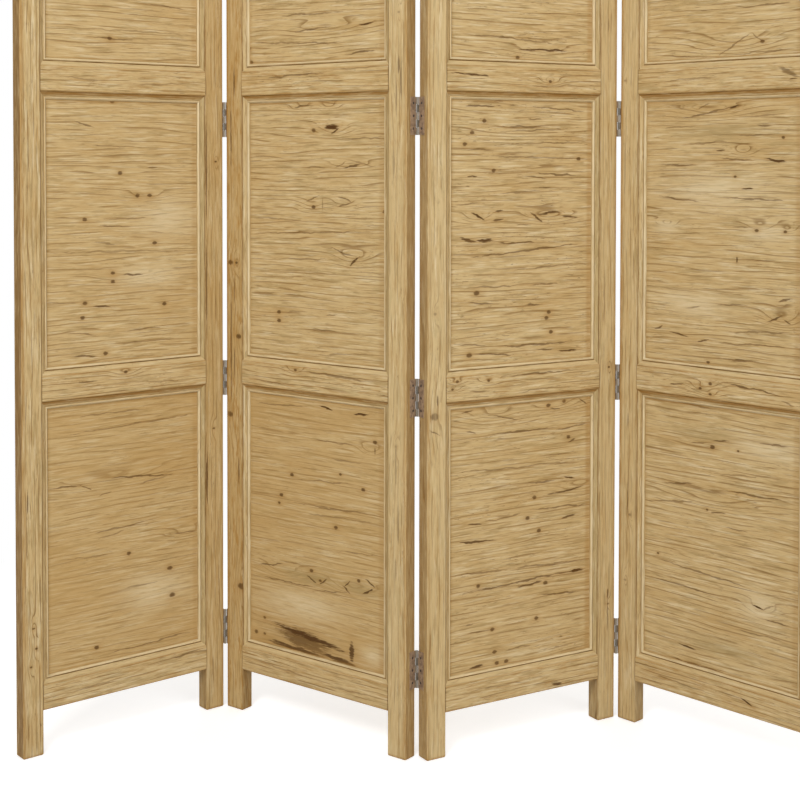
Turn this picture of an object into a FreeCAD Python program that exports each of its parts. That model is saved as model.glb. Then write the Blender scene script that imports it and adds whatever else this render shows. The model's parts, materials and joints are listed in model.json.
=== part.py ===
import FreeCAD, Part
import math
import os
import re

import Sketcher

# A free-standing folding screen of four framed wooden panels, joined edge to edge by butt hinges.
# Each panel has two stiles that run down to the floor as feet, four rails tenoned between them,
# and three fields of horizontal boards held in grooves, with a mitred bead round each field on both faces.
# Millimetres. Z is up, X runs along the screen to the right, and the fronts of the panels face -Y.
# The origin is on the floor, in the middle of the space that the half-folded screen takes up.

SIZES = {
    # frame of one panel
    "screen_height": 1700.0,
    "panel_width": 406.0,
    "panel_thickness": 27.0,
    "stile_width": 38.0,
    "rail_height": 44.0,
    "foot_height": 76.0,
    "arris": 1.5,
    # mortise and tenon joints
    "tenon_thickness": 8.0,
    "tenon_length": 27.0,
    "mortise_end_gap": 1.0,
    # boards of the fields
    "board_thickness": 10.0,
    "groove_depth": 8.0,
    "board_edge_gap": 1.0,
    "tongue_thickness": 3.0,
    "tongue_height": 4.0,
    "tongue_end_gap": 0.5,
    # beads, which slope down from the frame to a quirk and rise again to a ridge
    "bead_width": 14.0,
    "bead_height": 6.5,
    "quirk_distance": 8.0,
    "quirk_height": 2.0,
    "ridge_distance": 10.5,
    "ridge_height": 4.2,
    # butt hinges
    "hinge_height": 64.0,
    "hinge_end_distance": 149.0,
    "leaf_width": 18.0,
    "leaf_thickness": 0.9,
    "pin_radius": 1.2,
    "pin_clearance": 0.05,
    "knuckle_gap": 0.3,
    # countersunk screws
    "screw_head_radius": 2.5,
    "screw_length": 12.0,
    # how far a cut runs past the material that it cuts
    "overrun": 2.0,
}

# how far each panel is turned from the line of the screen, in degrees
PANEL_TURNS = (37.9, -38.4, 29.5, -47.5)

# the face of the panels that each row of hinges folds towards, from the first pair of panels to the last
HINGE_SIDES = ("front", "back", "front")

RAIL_NAMES = ("bottom_rail", "lower_rail", "upper_rail", "top_rail")
FIELD_NAMES = ("bottom_field", "middle_field", "top_field")

# A hinge has five knuckles, and the two leaves take turns.
LEFT_KNUCKLES = (0, 2, 4)
RIGHT_KNUCKLES = (1, 3)
KNUCKLES = len(LEFT_KNUCKLES) + len(RIGHT_KNUCKLES)

# The pins are round. Knuckles have eight flat sides round a bore of six, and screws have six,
# so that a hundred small pieces stay light.
BARREL_SIDES = 8
BORE_SIDES = 6
SCREW_SIDES = 6

# where the hinges of a row stand, as shares of the way from the lowest hinge to the highest
HINGE_SHARES = (0.0, 0.33, 0.669, 1.0)

# where the three screws of a leaf stand, as shares of its height
SCREW_SHARES = (1 / 6, 1 / 2, 5 / 6)

# where the boards of each field meet, as shares of the field's height, for each panel from the bottom field up
BOARD_JOINT_SHARES = (
    ((0.36, 0.68), (0.42, 0.74), (0.33, 0.65)),
    ((0.28, 0.585), (0.35, 0.5), (0.3, 0.66)),
    ((0.325, 0.66), (0.46, 0.71), (0.36, 0.69)),
    ((0.35, 0.7), (0.3, 0.64), (0.34, 0.62)),
)

# The sizes that follow from the ones above.
size = dict(SIZES)
size["rail_length"] = size["panel_width"] - 2 * size["stile_width"]
size["field_height"] = (
    size["screen_height"] - size["foot_height"] - len(RAIL_NAMES) * size["rail_height"]
) / len(FIELD_NAMES)
size["board_recess"] = (size["panel_thickness"] - size["board_thickness"]) / 2
size["tenon_recess"] = (size["panel_thickness"] - size["tenon_thickness"]) / 2
size["board_housing"] = size["groove_depth"] - size["board_edge_gap"]
size["board_length"] = size["rail_length"] + 2 * size["board_housing"]
size["boards_height"] = size["field_height"] + 2 * size["board_housing"]
size["knuckle_pitch"] = size["hinge_height"] / KNUCKLES
size["tight_bore"] = size["pin_radius"] / math.cos(math.pi / BORE_SIDES)
size["running_bore"] = (size["pin_radius"] + size["pin_clearance"]) / math.cos(math.pi / BORE_SIDES)
size["barrel_radius"] = size["pin_radius"] + size["pin_clearance"] + size["leaf_thickness"]
size["screw_line"] = (size["leaf_width"] + size["barrel_radius"]) / 2
size["screw_root_radius"] = size["screw_head_radius"] - size["leaf_thickness"]


def field_base(row):
    """The height where a field's clear opening starts, on top of the rail below it."""
    return size["foot_height"] + size["rail_height"] + row * (size["field_height"] + size["rail_height"])


def rail_base(row):
    """The height of a rail's underside."""
    return field_base(row) - size["rail_height"]


doc = FreeCAD.newDocument("folding_screen")
sheet = doc.addObject("Spreadsheet::Sheet", "sizes")
for row, (name, value) in enumerate(size.items(), start=1):
    sheet.set(f"A{row}", name)
    sheet.set(f"B{row}", str(value))
    sheet.setAlias(f"B{row}", name)
doc.recompute()


def bound(formula):
    """The formula with each named size read from the sheet."""
    return re.sub(
        r"[a-z_]+",
        lambda word: f"sizes.{word.group()}" if word.group() in size else word.group(),
        formula,
    )


def sketch_on(body, plane, name, offset="0"):
    """A sketch on one of the body's own origin planes, moved along the plane's normal."""
    sketch = body.newObject("Sketcher::SketchObject", name)
    support = next(item for item in body.Origin.OriginFeatures if item.Role == plane)
    sketch.AttachmentSupport = [(support, "")]
    sketch.MapMode = "FlatFace"
    sketch.setExpression("AttachmentOffset.Base.z", bound(offset))
    return sketch


def pin_point(sketch, line, x, y):
    """Ties the start of a line to its place, each coordinate a formula of named sizes."""
    for direction, formula in (("DistanceX", x), ("DistanceY", y)):
        index = sketch.addConstraint(Sketcher.Constraint(direction, -1, 1, line, 1, 1.0))
        sketch.setExpression(f"Constraints[{index}]", bound(formula))


def outline(sketch, corners):
    """A closed outline of straight lines through the corners."""
    first = sketch.GeometryCount
    count = len(corners)
    start = [
        FreeCAD.Vector(math.cos(2 * math.pi * k / count), math.sin(2 * math.pi * k / count), 0)
        for k in range(count)
    ]
    for k in range(count):
        sketch.addGeometry(Part.LineSegment(start[k], start[(k + 1) % count]))
    for k in range(count):
        following = first + (k + 1) % count
        sketch.addConstraint(Sketcher.Constraint("Coincident", first + k, 2, following, 1))
    for k, (x, y) in enumerate(corners):
        pin_point(sketch, first + k, x, y)


def rectangle(sketch, left, bottom, right, top):
    outline(sketch, ((left, bottom), (right, bottom), (right, top), (left, top)))


def polygon(sketch, radius, sides, middle_x="0", middle_y="0"):
    """A regular polygon whose corners lie at the radius."""
    turns = [f"{k * 360 / sides} deg" for k in range(sides)]
    outline(sketch, [
        (f"{middle_x} + {radius} * cos({turn})", f"{middle_y} + {radius} * sin({turn})")
        for turn in turns
    ])


def circle(sketch, radius):
    """A circle round the sketch's origin."""
    sketch.addGeometry(Part.Circle(FreeCAD.Vector(), FreeCAD.Vector(0, 0, 1), 1.0))
    sketch.addConstraint(Sketcher.Constraint("Coincident", 0, 3, -1, 1))
    index = sketch.addConstraint(Sketcher.Constraint("Radius", 0, 1.0))
    sketch.setExpression(f"Constraints[{index}]", bound(radius))


def pad(body, sketch, name, length):
    """A solid drawn out along the sketch's normal."""
    feature = body.newObject("PartDesign::Pad", name)
    feature.Profile = sketch
    feature.setExpression("Length", bound(length))


def pocket(body, sketch, name, depth, along_normal=False):
    """Cuts against the sketch's normal, or along it."""
    feature = body.newObject("PartDesign::Pocket", name)
    feature.Profile = sketch
    feature.setExpression("Length", bound(depth))
    feature.Reversed = along_normal


def loft(body, kind, name, start, end):
    """Adds or cuts a flat-sided taper between two sketches."""
    feature = body.newObject(f"PartDesign::{kind}Loft", name)
    feature.Profile = start
    feature.Sections = [end]
    feature.Ruled = True


def chamfer(body, name, chosen, leg):
    """Takes the arris off each edge of the body's last feature whose bounding box the test chooses."""
    doc.recompute()
    last = body.Tip
    edges = [f"Edge{k}" for k, edge in enumerate(last.Shape.Edges, start=1) if chosen(edge.BoundBox)]
    feature = body.newObject("PartDesign::Chamfer", name)
    feature.Base = (last, edges)
    feature.setExpression("Size", bound(leg))


def make_stile(name):
    """An upright: grooved for the boards on its inner edge, mortised for the rails, and a foot below them."""
    body = doc.addObject("PartDesign::Body", name)
    section = sketch_on(body, "XY_Plane", f"{name}_section")
    outline(section, (
        ("arris", "0"),
        ("stile_width - arris", "0"),
        ("stile_width", "arris"),
        ("stile_width", "panel_thickness - arris"),
        ("stile_width - arris", "panel_thickness"),
        ("arris", "panel_thickness"),
        ("0", "panel_thickness - arris"),
        ("0", "arris"),
    ))
    pad(body, section, f"{name}_length", "screen_height")
    groove = sketch_on(body, "YZ_Plane", f"{name}_groove_outline", "stile_width")
    rectangle(
        groove,
        "board_recess",
        "foot_height + rail_height - groove_depth",
        "panel_thickness - board_recess",
        "screen_height - rail_height + groove_depth",
    )
    pocket(body, groove, f"{name}_groove", "groove_depth")
    mortises = sketch_on(body, "YZ_Plane", f"{name}_mortise_outlines", "stile_width")
    for row in range(len(RAIL_NAMES)):
        base = f"foot_height + {row} * (rail_height + field_height)"
        rectangle(
            mortises,
            "tenon_recess",
            f"{base} + groove_depth",
            "panel_thickness - tenon_recess",
            f"{base} + rail_height - groove_depth",
        )
    pocket(body, mortises, f"{name}_mortises", "tenon_length + mortise_end_gap")
    low_end, high_end = size["arris"], size["screen_height"] - size["arris"]
    chamfer(body, f"{name}_ends", lambda box: box.ZMax < low_end or box.ZMin > high_end, "arris")
    return body


def rail_section(groove_above, groove_below):
    """The corners of a rail's section in Y and Z: eased arrises, and a groove wherever boards stand in it."""
    near, far = "board_recess", "panel_thickness - board_recess"
    corners = [("arris", "0")]
    if groove_below:
        corners += [(near, "0"), (near, "groove_depth"), (far, "groove_depth"), (far, "0")]
    corners += [
        ("panel_thickness - arris", "0"),
        ("panel_thickness", "arris"),
        ("panel_thickness", "rail_height - arris"),
        ("panel_thickness - arris", "rail_height"),
    ]
    if groove_above:
        corners += [
            (far, "rail_height"),
            (far, "rail_height - groove_depth"),
            (near, "rail_height - groove_depth"),
            (near, "rail_height"),
        ]
    corners += [("arris", "rail_height"), ("0", "rail_height - arris"), ("0", "arris")]
    return corners


def make_rail(name, row):
    """A cross rail with a tenon at each end."""
    body = doc.addObject("PartDesign::Body", name)
    section = sketch_on(body, "YZ_Plane", f"{name}_section")
    outline(section, rail_section(groove_above=row < len(FIELD_NAMES), groove_below=row > 0))
    pad(body, section, f"{name}_length", "rail_length")
    tenons = sketch_on(body, "YZ_Plane", f"{name}_tenon_section", "-tenon_length")
    rectangle(
        tenons,
        "tenon_recess",
        "groove_depth",
        "panel_thickness - tenon_recess",
        "rail_height - groove_depth",
    )
    pad(body, tenons, f"{name}_tenons", "rail_length + 2 * tenon_length")
    return body


def make_board(name, low_share, high_share):
    """One board of a field, with a groove along its lower edge and a tongue along its upper one."""
    body = doc.addObject("PartDesign::Body", name)
    near = "(board_thickness - tongue_thickness) / 2"
    far = "(board_thickness + tongue_thickness) / 2"
    low = f"{low_share} * boards_height"
    high = f"{high_share} * boards_height"
    corners = [("0", low)]
    if low_share > 0:
        groove_end = f"{low} + tongue_height + tongue_end_gap"
        corners += [(near, low), (near, groove_end), (far, groove_end), (far, low)]
    corners += [("board_thickness", low), ("board_thickness", high)]
    if high_share < 1:
        tongue_end = f"{high} + tongue_height"
        corners += [(far, high), (far, tongue_end), (near, tongue_end), (near, high)]
    corners += [("0", high)]
    section = sketch_on(body, "YZ_Plane", f"{name}_section")
    outline(section, corners)
    pad(body, section, f"{name}_length", "board_length")
    return body


def make_bead(name, length):
    """One mitred strip. Its tall side lies against the frame, and its low edge on the boards."""
    body = doc.addObject("PartDesign::Body", name)
    section = sketch_on(body, "YZ_Plane", f"{name}_section")
    outline(section, (
        ("0", "0"),
        ("-bead_height", "0"),
        ("-quirk_height", "quirk_distance"),
        ("-ridge_height", "ridge_distance"),
        ("0", "bead_width"),
    ))
    pad(body, section, f"{name}_length", length)
    mitres = sketch_on(body, "XZ_Plane", f"{name}_mitre_cuts")
    past = "(bead_width + overrun)"
    outline(mitres, (("0", "0"), (past, past), ("-overrun", past), ("-overrun", "0")))
    outline(mitres, (
        (length, "0"),
        (f"{length} + overrun", "0"),
        (f"{length} + overrun", past),
        (f"{length} - {past}", past),
    ))
    pocket(body, mitres, f"{name}_mitres", "bead_height + overrun", along_normal=True)
    return body


def make_leaf(name, own_knuckles, bore_radius):
    """A hinge leaf of rolled sheet. The pin's axis is the body's Z axis, and the plate runs off along +Y at -X."""
    body = doc.addObject("PartDesign::Body", name)
    plate = sketch_on(body, "XY_Plane", f"{name}_plate_section")
    rectangle(plate, "-barrel_radius", "0", "leaf_thickness - barrel_radius", "leaf_width")
    pad(body, plate, f"{name}_plate", "hinge_height")
    barrel = sketch_on(body, "XY_Plane", f"{name}_barrel_section")
    polygon(barrel, "barrel_radius", BARREL_SIDES)
    pad(body, barrel, f"{name}_barrel", "hinge_height")
    bore = sketch_on(body, "XY_Plane", f"{name}_bore_section")
    polygon(bore, bore_radius, BORE_SIDES)
    pocket(body, bore, f"{name}_bore", "hinge_height", along_normal=True)
    notches = sketch_on(body, "YZ_Plane", f"{name}_notch_outlines", "-barrel_radius - overrun")
    for place in range(KNUCKLES):
        if place not in own_knuckles:
            low = f"{place} * knuckle_pitch - knuckle_gap / 2"
            high = f"{place + 1} * knuckle_pitch + knuckle_gap / 2"
            rectangle(notches, "-barrel_radius - overrun", low, "barrel_radius + knuckle_gap", high)
    pocket(body, notches, f"{name}_notches", "2 * (barrel_radius + overrun)", along_normal=True)
    mouths = sketch_on(body, "YZ_Plane", f"{name}_countersink_mouths", "leaf_thickness - barrel_radius")
    roots = sketch_on(body, "YZ_Plane", f"{name}_countersink_roots", "-barrel_radius")
    for share in SCREW_SHARES:
        height = f"{share} * hinge_height"
        polygon(mouths, "screw_head_radius", SCREW_SIDES, "screw_line", height)
        polygon(roots, "screw_root_radius", SCREW_SIDES, "screw_line", height)
    loft(body, "Subtractive", f"{name}_countersinks", mouths, roots)
    return body


def make_pin(name):
    """The straight pin, tight in the knuckles of the left leaf and free in those of the right leaf."""
    body = doc.addObject("PartDesign::Body", name)
    section = sketch_on(body, "XY_Plane", f"{name}_section")
    circle(section, "pin_radius")
    pad(body, section, f"{name}_length", "hinge_height")
    return body


def make_screw(name):
    """A countersunk wood screw along X: its root is at the origin, its head is towards +X, its point towards -X."""
    body = doc.addObject("PartDesign::Body", name)
    head = sketch_on(body, "YZ_Plane", f"{name}_head_outline", "leaf_thickness")
    polygon(head, "screw_head_radius", SCREW_SIDES)
    root = sketch_on(body, "YZ_Plane", f"{name}_root_outline")
    polygon(root, "screw_root_radius", SCREW_SIDES)
    point = sketch_on(body, "YZ_Plane", f"{name}_point", "-screw_length")
    point.addGeometry(Part.Point(FreeCAD.Vector()))
    point.addConstraint(Sketcher.Constraint("Coincident", 0, 1, -1, 1))
    loft(body, "Additive", f"{name}_head", head, root)
    loft(body, "Additive", f"{name}_shank", root, point)
    return body


def copy_of(body, name, placement):
    """A further copy of a body at a place of its own."""
    copy = doc.addObject("App::Link", name)
    copy.LinkedObject = body
    copy.LinkTransform = False
    copy.Placement = placement
    return copy


def group(name, pieces, placement):
    """Like pieces that make one sub-part, each still a solid of its own."""
    compound = doc.addObject("Part::Compound", name)
    compound.Links = pieces
    compound.Placement = placement
    return compound


def placed(x=0.0, y=0.0, z=0.0, axis=(0, 0, 1), turn=0.0):
    return FreeCAD.Placement(FreeCAD.Vector(x, y, z), FreeCAD.Rotation(FreeCAD.Vector(*axis), turn))


def hinge_axis(side, edge):
    """Where a row of hinges turns, in a panel's own frame: a barrel's radius outside its face and its edge."""
    radius = size["barrel_radius"]
    x = size["panel_width"] + radius if edge == "right" else -radius
    y = -radius if side == "front" else size["panel_thickness"] + radius
    return FreeCAD.Vector(x, y, 0)


def panel_placements():
    """Each panel turned and hung on the hinges of the one before it, then all of them centred on the origin."""
    places = [placed(turn=PANEL_TURNS[0])]
    for side, turn in zip(HINGE_SIDES, PANEL_TURNS[1:]):
        axis = places[-1].multVec(hinge_axis(side, "right"))
        base = axis - placed(turn=turn).multVec(hinge_axis(side, "left"))
        places.append(placed(base.x, base.y, turn=turn))
    width, depth, arris = size["panel_width"], size["panel_thickness"], size["arris"]
    corners = []
    for edge in (0, width):
        for face in (0, depth):
            corners.append(FreeCAD.Vector(abs(edge - arris), face, 0))
            corners.append(FreeCAD.Vector(edge, abs(face - arris), 0))
    points = [place.multVec(corner) for place in places for corner in corners]
    middle_x = (min(p.x for p in points) + max(p.x for p in points)) / 2
    middle_y = (min(p.y for p in points) + max(p.y for p in points)) / 2
    return [placed(-middle_x, -middle_y).multiply(place) for place in places]


# The strips and the hinge pieces are made once, and their copies are placed in groups.
bead_across = make_bead("bead_across", "rail_length")
bead_upright = make_bead("bead_upright", "field_height")
left_leaf = make_leaf("left_leaf", LEFT_KNUCKLES, "tight_bore")
right_leaf = make_leaf("right_leaf", RIGHT_KNUCKLES, "running_bore")
pin = make_pin("pin")
screw = make_screw("screw")


def boards_of(name, joints):
    """The boards of one field, standing on each other tongue in groove."""
    shares = (0, *joints, 1)
    return [
        make_board(f"{name}_board_{k}", shares[k - 1], shares[k])
        for k in range(1, len(shares))
    ]


def beads_round(name, row, face):
    """The four strips round one field, in the panel's own frame. The back is the front turned half round."""
    width = size["panel_width"]
    left, right = size["stile_width"], width - size["stile_width"]
    low, high = field_base(row), field_base(row) + size["field_height"]
    near = size["board_recess"]
    face_place = placed() if face == "front" else placed(width, size["panel_thickness"], turn=180)
    strips = (
        (bead_across, placed(left, near, low)),
        (bead_upright, placed(right, near, low, (0, 1, 0), -90)),
        (bead_across, placed(right, near, high, (0, 1, 0), 180)),
        (bead_upright, placed(left, near, high, (0, 1, 0), 90)),
    )
    return [
        copy_of(strip, f"{name}_{number}", face_place.multiply(place))
        for number, (strip, place) in enumerate(strips, start=1)
    ]


def panel_nodes(number, place):
    """The sub-parts of one panel, all on the panel's own place."""
    panel = f"panel_{number}"
    left_stile = make_stile(f"{panel}_left_stile")
    left_stile.Placement = place
    right_stile = make_stile(f"{panel}_right_stile")
    right_stile.Placement = place.multiply(placed(size["panel_width"], size["panel_thickness"], turn=180))
    nodes = [left_stile, right_stile]
    for row, rail_name in enumerate(RAIL_NAMES):
        rail = make_rail(f"{panel}_{rail_name}", row)
        rail.Placement = place.multiply(placed(size["stile_width"], 0, rail_base(row)))
        nodes.append(rail)
    for row, field_name in enumerate(FIELD_NAMES):
        name = f"{panel}_{field_name}"
        corner = placed(
            size["stile_width"] - size["board_housing"],
            size["board_recess"],
            field_base(row) - size["board_housing"],
        )
        boards = boards_of(name, BOARD_JOINT_SHARES[number - 1][row])
        nodes.append(group(name, boards, place.multiply(corner)))
    for face in ("front", "back"):
        name = f"{panel}_{face}_beads"
        strips = []
        for row in range(len(FIELD_NAMES)):
            strips += beads_round(f"{name}_{row + 1}", row, face)
        nodes.append(group(name, strips, place))
    return nodes


def leaf_place(side, hand):
    """How a leaf lies about its pin: turned over for hinges on the back, and across for the right panel."""
    place = placed()
    if side == "back":
        place = place.multiply(placed(z=size["hinge_height"], axis=(1, 0, 0), turn=180))
    if hand == "right":
        place = place.multiply(placed(z=size["hinge_height"], axis=(0, 1, 0), turn=180))
    return place


def hinge_nodes(number, side):
    """The leaves, screws and pins of the row of hinges between one panel and the next."""
    row_name = f"hinges_{number}_{number + 1}"
    span = size["screen_height"] - 2 * size["hinge_end_distance"]
    lowest = size["hinge_end_distance"] - size["hinge_height"] / 2
    heights = [lowest + share * span for share in HINGE_SHARES]
    left_frame = panel_places[number - 1].multiply(placed(*hinge_axis(side, "right")))
    right_frame = panel_places[number].multiply(placed(*hinge_axis(side, "left")))
    nodes = []
    for hand, leaf, frame in (("left", left_leaf, left_frame), ("right", right_leaf, right_frame)):
        leaves, screws = [], []
        for k, height in enumerate(heights, start=1):
            place = placed(z=height).multiply(leaf_place(side, hand))
            leaves.append(copy_of(leaf, f"{row_name}_{hand}_leaf_{k}", place))
            for n, share in enumerate(SCREW_SHARES, start=1):
                hole = placed(-size["barrel_radius"], size["screw_line"], share * size["hinge_height"])
                screws.append(copy_of(screw, f"{row_name}_{hand}_screw_{k}_{n}", place.multiply(hole)))
        nodes.append(group(f"{row_name}_{hand}_leaves", leaves, frame))
        nodes.append(group(f"{row_name}_{hand}_screws", screws, frame))
    pins = [
        copy_of(pin, f"{row_name}_pin_{k}", placed(z=height))
        for k, height in enumerate(heights, start=1)
    ]
    nodes.append(group(f"{row_name}_pins", pins, left_frame))
    return nodes


panel_places = panel_placements()
sub_parts = []
for number, place in enumerate(panel_places, start=1):
    sub_parts += panel_nodes(number, place)
for number, side in enumerate(HINGE_SIDES, start=1):
    sub_parts += hinge_nodes(number, side)
doc.recompute()

for item in doc.Objects:
    if "Invalid" in item.State or "Error" in item.State:
        raise RuntimeError(f"{item.Label} failed: {item.State}")
for sub_part in sub_parts:
    shape = sub_part.Shape
    if shape.isNull() or not shape.isValid() or not shape.Solids:
        raise RuntimeError(f"{sub_part.Label} has no valid solid")

os.makedirs("parts", exist_ok=True)
for sub_part in sub_parts:
    sub_part.Shape.exportStep(os.path.join("parts", f"{sub_part.Label}.step"))

print(len(sub_parts), "sub-parts,", sum(len(sub_part.Shape.Solids) for sub_part in sub_parts), "solids")
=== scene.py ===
import json
import math

import bpy
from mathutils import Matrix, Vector


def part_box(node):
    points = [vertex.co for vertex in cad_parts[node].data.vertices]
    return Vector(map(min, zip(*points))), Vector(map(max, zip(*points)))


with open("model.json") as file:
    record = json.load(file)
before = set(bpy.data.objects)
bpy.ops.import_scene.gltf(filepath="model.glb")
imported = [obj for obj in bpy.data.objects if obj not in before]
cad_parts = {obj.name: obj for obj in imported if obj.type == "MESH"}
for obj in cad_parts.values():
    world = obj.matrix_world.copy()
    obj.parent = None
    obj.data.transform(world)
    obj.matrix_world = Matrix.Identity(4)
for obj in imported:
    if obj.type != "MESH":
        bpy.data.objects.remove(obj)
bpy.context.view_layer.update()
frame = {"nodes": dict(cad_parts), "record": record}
bpy.ops.object.select_all(action="DESELECT")


# Stiles. Two uprights of reclaimed softwood to a panel, planed, waxed and worn, which run down to the floor
# as feet. Their grain runs up and down. The panels' own places are worked out from the feet of the stiles.

# the sizes and places on a panel are in millimetres, as in the part
MM_PER_METRE = 1000
PANEL_WIDTH = 406
PANEL_THICKNESS = 27
STILE_WIDTH = 38
PANELS = (1, 2, 3, 4)


class Wire:
    """One output in a material's node tree, which takes Python's arithmetic."""

    def __init__(self, tree, socket):
        self.tree = tree
        self.socket = socket

    def node(self, kind, settings=None, inputs=None, output=0):
        """Any other node: its kind, its settings, and the values or wires of its sockets."""
        made = self.tree.nodes.new("ShaderNode" + kind)
        for name, value in (settings or {}).items():
            setattr(made, name, value)
        for name, value in (inputs or {}).items():
            if isinstance(value, Wire):
                self.tree.links.new(value.socket, made.inputs[name])
            else:
                made.inputs[name].default_value = value
        return Wire(self.tree, made.outputs[output])

    def other(self, output):
        """Another output of the same node."""
        return Wire(self.tree, self.socket.node.outputs[output])

    def math(self, operation, *others):
        return self.node("Math", {"operation": operation}, dict(enumerate((self, *others))))

    def __add__(self, other):
        return self.math("ADD", other)

    __radd__ = __add__

    def __sub__(self, other):
        return self.math("SUBTRACT", other)

    def __rsub__(self, other):
        return self * -1 + other

    def __mul__(self, other):
        return self.math("MULTIPLY", other)

    __rmul__ = __mul__

    def __truediv__(self, other):
        return self.math("DIVIDE", other)

    def __abs__(self):
        return self.math("ABSOLUTE")

    def squared(self):
        return self.math("MULTIPLY", self)

    def clamp(self):
        return self.node("Clamp", None, {"Value": self})

    def rise(self, start, end):
        """0 before start, 1 after end, and smooth between them. It falls where start is past end."""
        return self.node(
            "MapRange",
            {"interpolation_type": "SMOOTHSTEP"},
            {"Value": self, "From Min": start, "From Max": end},
        )

    def band(self, low, high, soft):
        """1 between low and high, with soft edges."""
        return self.rise(low - soft, low + soft) * self.rise(high + soft, high - soft)

    def noise(self, along, across, detail=2.0, rough=0.5):
        """Soft noise on millimetre coordinates, drawn out along the grain."""
        scale = (1 / along, 1 / across, 1 / across)
        stretched = self.node("VectorMath", {"operation": "MULTIPLY"}, {0: self, 1: scale})
        return self.node(
            "TexNoise",
            None,
            {"Vector": stretched, "Scale": 1.0, "Detail": detail, "Roughness": rough},
        )

    def mix(self, low, high):
        """From one colour to the other by this mask."""
        made = self.node("Mix", {"data_type": "RGBA"}, {0: self}, 2)
        for name, value in ((6, low), (7, high)):
            socket = made.socket.node.inputs[name]
            if isinstance(value, Wire):
                self.tree.links.new(value.socket, socket)
            else:
                socket.default_value = (*value, 1)
        return made


feet = {mount["name"]: Vector(mount["pos_m"]) for mount in frame["record"]["mounts"]}


def panel_corner(panel):
    """The foot of a panel's front left edge on the floor, and how far the panel is turned."""
    left, right = feet[f"panel_{panel}_left_foot"], feet[f"panel_{panel}_right_foot"]
    run = (right - left).normalized()
    back = Vector((-run.y, run.x, 0))
    halved = 2 * MM_PER_METRE
    corner = left - run * STILE_WIDTH / halved - back * PANEL_THICKNESS / halved
    return corner, math.atan2(run.y, run.x)


# Colours of the waxed wood, as linear light.
STRAW = (0.500, 0.345, 0.150)
PALE_STRAW = (0.600, 0.455, 0.235)
CREAM = (0.660, 0.540, 0.330)
OLIVE = (0.330, 0.235, 0.095)
HONEY = (0.440, 0.270, 0.090)
AMBER = (0.345, 0.175, 0.038)
BROWN = (0.165, 0.077, 0.011)
DARK_BROWN = (0.078, 0.031, 0.004)


def new_material(name):
    material = bpy.data.materials.new(name)
    material.use_nodes = True
    return material


def on_panel(material, panel):
    """A panel's own coordinates in millimetres: across it to the right, into it, and up."""
    corner, turn = panel_corner(panel)
    start = Wire(material.node_tree, None)
    world = start.node("TexCoord", output="Object")
    moved = start.node("VectorMath", {"operation": "SUBTRACT"}, {0: world, 1: tuple(corner)})
    return start.node(
        "Mapping", None, {"Vector": moved, "Rotation": (0, 0, -turn), "Scale": (MM_PER_METRE,) * 3}
    )


def shared_pattern(name, takes, gives):
    """A node group that all the wood shares: its tree, its inputs as wires, and its results' node."""
    tree = bpy.data.node_groups.new(name, "ShaderNodeTree")
    for way, sockets in (("INPUT", takes), ("OUTPUT", gives)):
        for label, kind in sockets.items():
            tree.interface.new_socket(label, in_out=way, socket_type="NodeSocket" + kind)
    given = tree.nodes.new("NodeGroupInput")
    results = tree.nodes.new("NodeGroupOutput")
    return tree, [Wire(tree, given.outputs[label]) for label in takes], results


def grain_pattern():
    """Growth rings as thin broken lines, over fine fibres, soft smudges and short dark pores."""
    takes = {"Run": "Vector", "Rings": "Float", "Figure": "Float", "Lines": "Float", "Specks": "Float"}
    tree, wires, results = shared_pattern("grain", takes, {"Colour": "Color", "Depth": "Float"})
    run, rings, figure, lines, specks = wires
    # every noise is given its length along the grain and its width across it
    tone = run.noise(90, 5, 3.0, 0.6) * 1.5 + run.noise(250, 60) * 0.8 + run.noise(14, 3, 3.0) * 1.0 - 1.25
    smudges = run.noise(55, 7, 3.0, 0.6).rise(0.50, 0.64)
    bare = run.noise(60, 3.5, 3.0, 0.6).rise(0.52, 0.66)
    old_wax = run.noise(120, 34).rise(0.50, 0.74)
    fibres = run.noise(48, 1.4, 3.0, 0.65).rise(0.48, 0.72)
    # a ring darkens slowly to its late wood and ends at once, and it shows most where the figure is strong
    saw = rings.math("FRACT")
    late_wood = saw.rise(0.68, 0.95) * saw.rise(1.0, 0.96)
    late_wood = late_wood * (run.noise(70, 6) + figure * 0.22).rise(0.42, 0.56)
    # fainter rings lie between, out of step with the others
    saw = (rings * 2.37).math("FRACT")
    between = saw.rise(0.60, 0.92) * saw.rise(1.0, 0.94) * run.noise(45, 5).rise(0.50, 0.64)
    pores = run.noise(16, 1.6, 2.0, 0.6).rise(0.62, 0.68) * run.noise(95, 22).rise(0.46, 0.60)
    colour = tone.clamp().mix(STRAW, PALE_STRAW)
    colour = (smudges * 0.50).mix(colour, OLIVE)
    colour = (bare * 0.75).mix(colour, CREAM)
    colour = (old_wax * 0.35).mix(colour, HONEY)
    colour = (fibres * 0.28).mix(colour, BROWN)
    colour = (between * lines * 0.40).mix(colour, BROWN)
    colour = (late_wood * lines * 0.70).mix(colour, BROWN)
    colour = (pores * specks * 0.65).mix(colour, DARK_BROWN)
    tree.links.new(colour.socket, results.inputs["Colour"])
    tree.links.new((late_wood + between * 0.5 + pores + fibres * 0.4).socket, results.inputs["Depth"])
    return tree


def parting_pattern():
    """The growth rings part and close again round a knot or an eye."""
    takes = dict.fromkeys(
        ("Across", "Up", "X", "Z", "Half Length", "Half Height", "Amount", "Rings", "Figure"), "Float"
    )
    tree, wires, results = shared_pattern("parting", takes, {"Rings": "Float", "Figure": "Float"})
    across, up, x, z, half_length, half_height, amount, rings, figure = wires
    distance = ((across - x) / half_length).squared() + ((up - z) / half_height).squared()
    close = (distance * -1).math("EXPONENT")
    tree.links.new((rings + close * amount).socket, results.inputs["Rings"])
    tree.links.new((figure + close).socket, results.inputs["Figure"])
    return tree


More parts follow.
